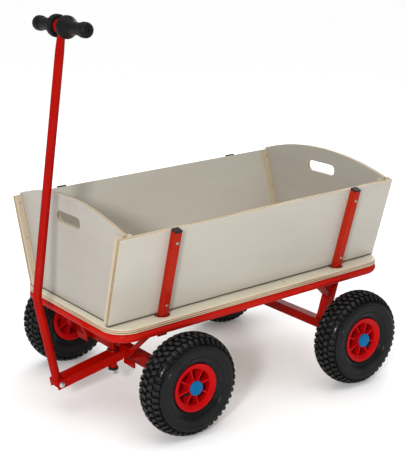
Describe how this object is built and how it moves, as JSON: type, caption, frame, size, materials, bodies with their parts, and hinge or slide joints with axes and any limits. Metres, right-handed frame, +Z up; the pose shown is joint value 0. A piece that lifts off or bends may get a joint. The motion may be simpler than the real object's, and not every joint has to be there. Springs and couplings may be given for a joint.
{
  "type": "hand wagon",
  "caption": "Hand-pulled wagon with leaning plywood sides, arched end boards, steered front axle, upright drawbar and air-filled wheels.",
  "frame": {"origin": "on the ground below the middle of the whole wagon", "axes": "+X in the pulling direction, +Y to the wagon's left, +Z up"},
  "size_m": [0.9794, 0.6632, 0.9942],
  "materials": {
    "red_paint": "gloss",
    "plywood": "satin",
    "batten_wood": "satin",
    "zinc": "satin",
    "black_plastic": "matte",
    "grip_rubber": "matte",
    "tyre_rubber": "matte",
    "red_plastic": "gloss",
    "bush_plastic": "matte",
    "blue_plastic": "gloss",
    "valve_rubber": "matte"
  },
  "bodies": {
    "chassis": {"frame_ring": "red_paint", "deck_plate": "plywood", "front_cross_tube": "red_paint", "rear_cross_tube": "red_paint", "front_sockets": "red_paint", "rear_legs": "red_paint", "rear_braces": "red_paint", "rear_axle_beam": "red_paint", "rear_axle_rod": "zinc", "rear_axle_clips": "zinc", "kingpin_post": "red_paint", "post_gussets": "red_paint", "kingpin": "zinc", "kingpin_washer": "zinc", "kingpin_pad": "black_plastic", "kingpin_nut": "zinc", "steering_stops": "red_paint"},
    "steering": {"front_axle_beam": "red_paint", "front_axle_rod": "zinc", "front_axle_clips": "zinc", "drawbar_channel": "red_paint", "steering_sleeve": "red_paint", "pivot_bolt": "zinc", "pivot_nut": "zinc"},
    "pull_bar": {"drawbar": "red_paint", "drawbar_barrel": "red_paint", "handle_bar": "red_paint", "grips": "grip_rubber"},
    "front_left_wheel": {"front_left_tyre": "tyre_rubber", "front_left_rim": "red_plastic", "front_left_hub_bush": "bush_plastic", "front_left_hub_cap": "blue_plastic", "front_left_valve": "valve_rubber"},
    "front_right_wheel": {"front_right_tyre": "tyre_rubber", "front_right_rim": "red_plastic", "front_right_hub_bush": "bush_plastic", "front_right_hub_cap": "blue_plastic", "front_right_valve": "valve_rubber"},
    "rear_left_wheel": {"rear_left_tyre": "tyre_rubber", "rear_left_rim": "red_plastic", "rear_left_hub_bush": "bush_plastic", "rear_left_hub_cap": "blue_plastic", "rear_left_valve": "valve_rubber"},
    "rear_right_wheel": {"rear_right_tyre": "tyre_rubber", "rear_right_rim": "red_plastic", "rear_right_hub_bush": "bush_plastic", "rear_right_hub_cap": "blue_plastic", "rear_right_valve": "valve_rubber"},
    "left_side": {"left_side_board": "plywood", "left_stakes": "red_paint", "left_stake_caps": "black_plastic", "left_stake_screws": "zinc", "left_battens": "batten_wood"},
    "right_side": {"right_side_board": "plywood", "right_stakes": "red_paint", "right_stake_caps": "black_plastic", "right_stake_screws": "zinc", "right_battens": "batten_wood"},
    "front_panel": {"front_board": "plywood"},
    "rear_panel": {"rear_board": "plywood"}
  },
  "joints": [
    {"name": "steering", "type": "hinge", "parent": "chassis", "child": "steering", "pos_m": [0.26158, 0, 0.12866], "axis": [0.0419, 0, 0.9991], "range_deg": [-15, 15]},
    {"name": "drawbar_pivot", "type": "hinge", "parent": "steering", "child": "pull_bar", "pos_m": [0.42667, 0, 0.0797], "axis": [0, 1, 0], "range_deg": [0, 90]},
    {"name": "front_left_roll", "type": "hinge", "parent": "steering", "child": "front_left_wheel", "pos_m": [0.2296, 0.289, 0.13], "axis": [0, 1, 0], "continuous": true},
    {"name": "front_right_roll", "type": "hinge", "parent": "steering", "child": "front_right_wheel", "pos_m": [0.2296, -0.289, 0.13], "axis": [0, 1, 0], "continuous": true},
    {"name": "rear_left_roll", "type": "hinge", "parent": "chassis", "child": "rear_left_wheel", "pos_m": [-0.33389, 0.289, 0.13], "axis": [0, 1, 0], "continuous": true},
    {"name": "rear_right_roll", "type": "hinge", "parent": "chassis", "child": "rear_right_wheel", "pos_m": [-0.33389, -0.289, 0.13], "axis": [0, 1, 0], "continuous": true},
    {"name": "left_side_lift", "type": "slide", "parent": "chassis", "child": "left_side", "axis": [0.0402, 0.284, 0.958], "range_m": [0, 0.06]},
    {"name": "right_side_lift", "type": "slide", "parent": "chassis", "child": "right_side", "axis": [0.0402, -0.284, 0.958], "range_m": [0, 0.06]},
    {"name": "front_panel_lift", "type": "slide", "parent": "chassis", "child": "front_panel", "axis": [0.0419, 0, 0.9991], "range_m": [0, 0.25]},
    {"name": "rear_panel_lift", "type": "slide", "parent": "chassis", "child": "rear_panel", "axis": [0.0419, 0, 0.9991], "range_m": [0, 0.25]}
  ]
}
